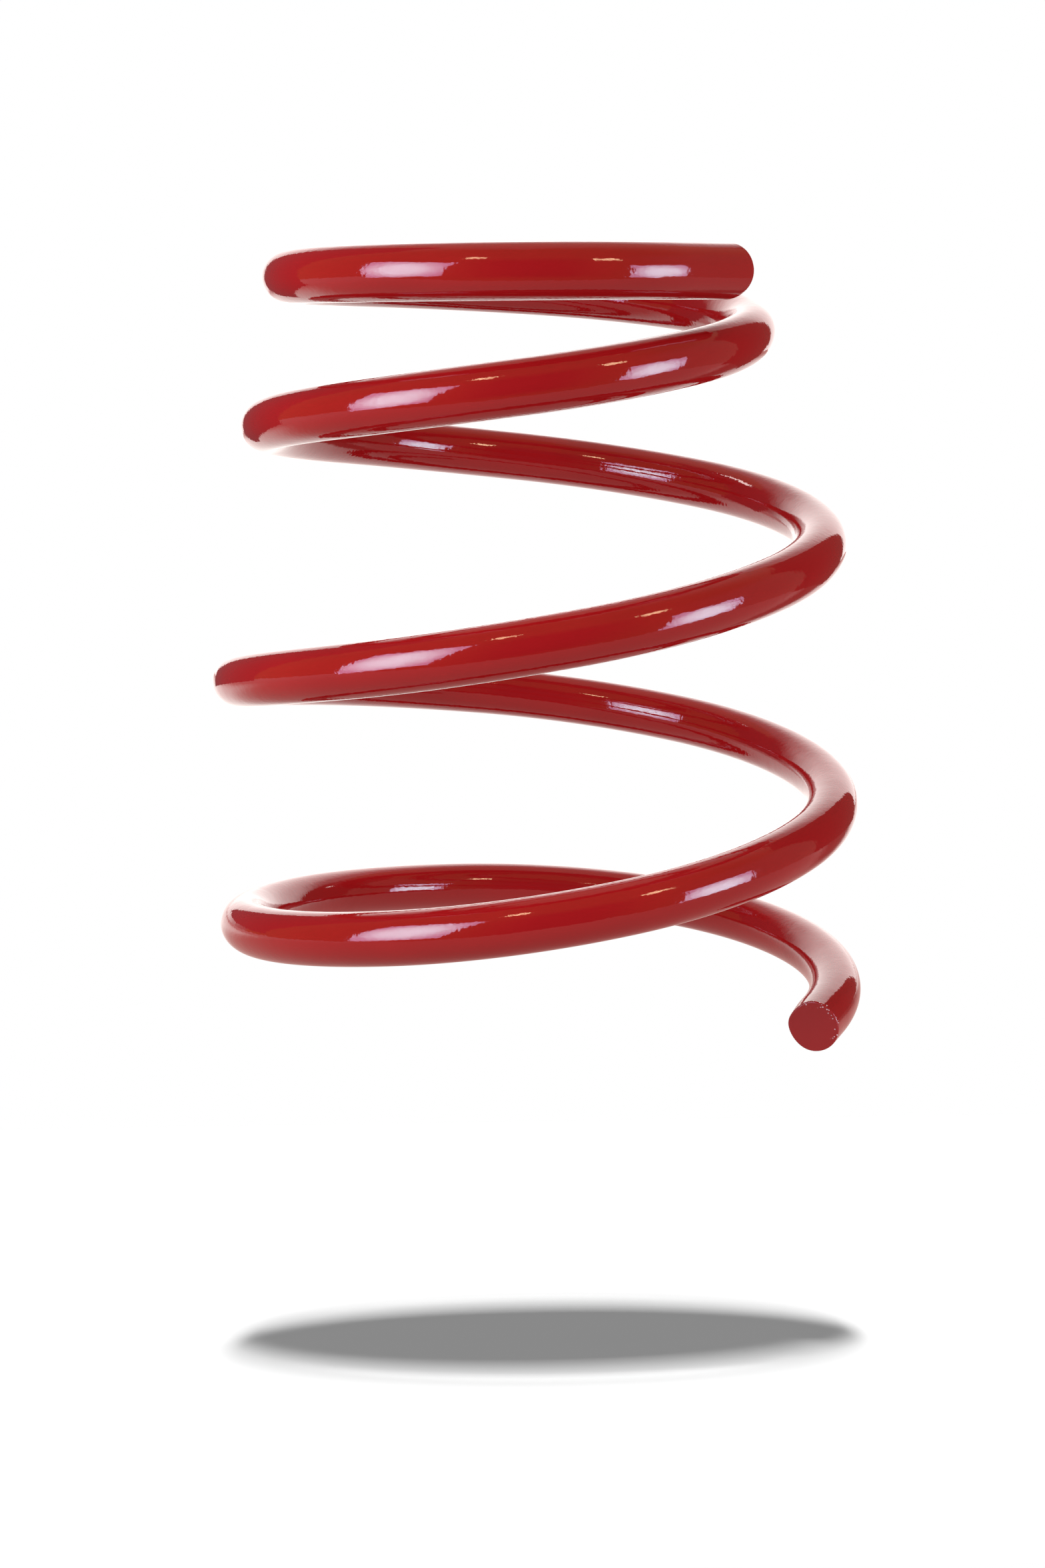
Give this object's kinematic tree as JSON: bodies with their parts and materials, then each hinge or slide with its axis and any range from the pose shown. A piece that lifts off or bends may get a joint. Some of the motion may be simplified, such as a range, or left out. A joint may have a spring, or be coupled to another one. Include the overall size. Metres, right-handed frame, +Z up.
{
  "type": "suspension coil spring",
  "caption": "Right-handed suspension coil spring of round bar, narrow closed coil on top, open lower end, powder coated; it compresses along its axis.",
  "frame": {"origin": "on the plane of the lowest point of the lower end, in the middle of the coil", "axes": "+Z up the coil from the lower seat to the upper seat; +X to the right and -Y to the front, where the upper end coil stops at the right front"},
  "size_m": [0.1637, 0.1631, 0.1958],
  "materials": {
    "powder_coat": "glossy red powder coat over spring steel"
  },
  "bodies": {
    "lower_end_coil": {"lower_tip": "powder_coat", "lower_end_coil_1": "powder_coat", "lower_end_coil_2": "powder_coat", "lower_end_coil_3": "powder_coat", "lower_end_coil_4": "powder_coat", "lower_end_coil_5": "powder_coat", "lower_end_coil_6": "powder_coat"},
    "active_coil_1": {"active_coil_1": "powder_coat"},
    "active_coil_2": {"active_coil_2": "powder_coat"},
    "active_coil_3": {"active_coil_3": "powder_coat"},
    "active_coil_4": {"active_coil_4": "powder_coat"},
    "active_coil_5": {"active_coil_5": "powder_coat"},
    "active_coil_6": {"active_coil_6": "powder_coat"},
    "active_coil_7": {"active_coil_7": "powder_coat"},
    "active_coil_8": {"active_coil_8": "powder_coat"},
    "active_coil_9": {"active_coil_9": "powder_coat"},
    "active_coil_10": {"active_coil_10": "powder_coat"},
    "active_coil_11": {"active_coil_11": "powder_coat"},
    "active_coil_12": {"active_coil_12": "powder_coat"},
    "active_coil_13": {"active_coil_13": "powder_coat"},
    "active_coil_14": {"active_coil_14": "powder_coat"},
    "active_coil_15": {"active_coil_15": "powder_coat"},
    "active_coil_16": {"active_coil_16": "powder_coat"},
    "active_coil_17": {"active_coil_17": "powder_coat"},
    "active_coil_18": {"active_coil_18": "powder_coat"},
    "upper_end_coil": {"upper_end_coil_1": "powder_coat", "upper_end_coil_2": "powder_coat", "upper_end_coil_3": "powder_coat", "upper_end_coil_4": "powder_coat", "upper_end_coil_5": "powder_coat", "upper_end_coil_6": "powder_coat", "upper_end_coil_7": "powder_coat", "upper_end_coil_8": "powder_coat", "upper_tip": "powder_coat"}
  },
  "joints": [
    {"name": "compression", "type": "slide", "parent": "lower_end_coil", "child": "upper_end_coil", "axis": [0, 0, -1], "range_m": [0, 0.085], "stiffness_N_per_m": 42000},
    {"name": "twist_1", "type": "hinge", "parent": "lower_end_coil", "child": "active_coil_1", "pos_m": [-0.03565, -0.06464, 0.03678], "axis": [0.1141, 0.9932, -0.0251], "range_deg": [0, 1.55]},
    {"name": "twist_2", "type": "hinge", "parent": "active_coil_1", "child": "active_coil_2", "pos_m": [0.02026, -0.07086, 0.04474], "axis": [-0.9192, 0.3937, -0.0086], "range_deg": [0, 2.21]},
    {"name": "twist_3", "type": "hinge", "parent": "active_coil_2", "child": "active_coil_3", "pos_m": [0.06472, -0.03643, 0.05265], "axis": [-0.8249, -0.5652, -0.0097], "range_deg": [0, 3.13]},
    {"name": "twist_4", "type": "hinge", "parent": "active_coil_3", "child": "active_coil_4", "pos_m": [0.07269, 0.01924, 0.06041], "axis": [-0.0781, -0.9967, -0.0234], "range_deg": [0, 4.1]},
    {"name": "twist_5", "type": "hinge", "parent": "active_coil_4", "child": "active_coil_5", "pos_m": [0.03967, 0.06476, 0.06803], "axis": [0.8595, -0.5094, -0.042], "range_deg": [0, 4.37]},
    {"name": "twist_6", "type": "hinge", "parent": "active_coil_5", "child": "active_coil_6", "pos_m": [-0.01573, 0.07448, 0.07551], "axis": [0.9725, 0.2265, -0.0547], "range_deg": [0, 4.29]},
    {"name": "twist_7", "type": "hinge", "parent": "active_coil_6", "child": "active_coil_7", "pos_m": [-0.06225, 0.04292, 0.08299], "axis": [0.6088, 0.7907, -0.0641], "range_deg": [0, 4.38]},
    {"name": "twist_8", "type": "hinge", "parent": "active_coil_7", "child": "active_coil_8", "pos_m": [-0.07369, -0.01202, 0.09076], "axis": [-0.1088, 0.9919, -0.065], "range_deg": [0, 4.63]},
    {"name": "twist_9", "type": "hinge", "parent": "active_coil_8", "child": "active_coil_9", "pos_m": [-0.04392, -0.05904, 0.09891], "axis": [-0.7707, 0.6346, -0.0581], "range_deg": [0, 4.9]},
    {"name": "twist_18", "type": "hinge", "parent": "upper_end_coil", "child": "active_coil_18", "pos_m": [0.03774, -0.04288, 0.16928], "axis": [-0.3941, 0.9188, -0.0214], "range_deg": [0, 1.43]},
    {"name": "twist_17", "type": "hinge", "parent": "active_coil_18", "child": "active_coil_17", "pos_m": [-0.00266, -0.06031, 0.16344], "axis": [0.8078, 0.5894, 0.001], "range_deg": [0, 1.82]},
    {"name": "twist_16", "type": "hinge", "parent": "active_coil_17", "child": "active_coil_16", "pos_m": [-0.0457, -0.04399, 0.15802], "axis": [0.9172, -0.3974, 0.0278], "range_deg": [0, 2.37]},
    {"name": "twist_15", "type": "hinge", "parent": "active_coil_16", "child": "active_coil_15", "pos_m": [-0.06611, -0.00051, 0.15286], "axis": [0.4411, -0.8963, 0.0457], "range_deg": [0, 3.34]},
    {"name": "twist_14", "type": "hinge", "parent": "active_coil_15", "child": "active_coil_14", "pos_m": [-0.04986, 0.04686, 0.1473], "axis": [-0.5307, -0.8457, 0.0561], "range_deg": [0, 3.9]},
    {"name": "twist_13", "type": "hinge", "parent": "active_coil_14", "child": "active_coil_13", "pos_m": [-0.00425, 0.07007, 0.14087], "axis": [-0.9747, -0.2176, 0.0513], "range_deg": [0, 4.37]},
    {"name": "twist_12", "type": "hinge", "parent": "active_coil_13", "child": "active_coil_12", "pos_m": [0.04561, 0.05471, 0.13354], "axis": [-0.8421, 0.5375, 0.0446], "range_deg": [0, 4.82]},
    {"name": "twist_11", "type": "hinge", "parent": "active_coil_12", "child": "active_coil_11", "pos_m": [0.0712, 0.0081, 0.12533], "axis": [-0.2169, 0.9753, 0.0424], "range_deg": [0, 5.26]},
    {"name": "twist_10", "type": "hinge", "parent": "active_coil_11", "child": "active_coil_10", "pos_m": [0.05686, -0.04418, 0.1164], "axis": [0.6344, 0.7717, 0.0444], "range_deg": [0, 5.38]}
  ],
  "couplings": [
    {"joint": "twist_1", "follows": "compression", "rad_per_m": 0.31531},
    {"joint": "twist_2", "follows": "compression", "rad_per_m": 0.45146},
    {"joint": "twist_3", "follows": "compression", "rad_per_m": 0.63965},
    {"joint": "twist_4", "follows": "compression", "rad_per_m": 0.83883},
    {"joint": "twist_5", "follows": "compression", "rad_per_m": 0.89433},
    {"joint": "twist_6", "follows": "compression", "rad_per_m": 0.87898},
    {"joint": "twist_7", "follows": "compression", "rad_per_m": 0.89826},
    {"joint": "twist_8", "follows": "compression", "rad_per_m": 0.94956},
    {"joint": "twist_9", "follows": "compression", "rad_per_m": 1.0041},
    {"joint": "twist_18", "follows": "compression", "rad_per_m": 0.29172},
    {"joint": "twist_17", "follows": "compression", "rad_per_m": 0.37239},
    {"joint": "twist_16", "follows": "compression", "rad_per_m": 0.48393},
    {"joint": "twist_15", "follows": "compression", "rad_per_m": 0.68472},
    {"joint": "twist_14", "follows": "compression", "rad_per_m": 0.79778},
    {"joint": "twist_13", "follows": "compression", "rad_per_m": 0.8945},
    {"joint": "twist_12", "follows": "compression", "rad_per_m": 0.98829},
    {"joint": "twist_11", "follows": "compression", "rad_per_m": 1.0785},
    {"joint": "twist_10", "follows": "compression", "rad_per_m": 1.1023}
  ]
}
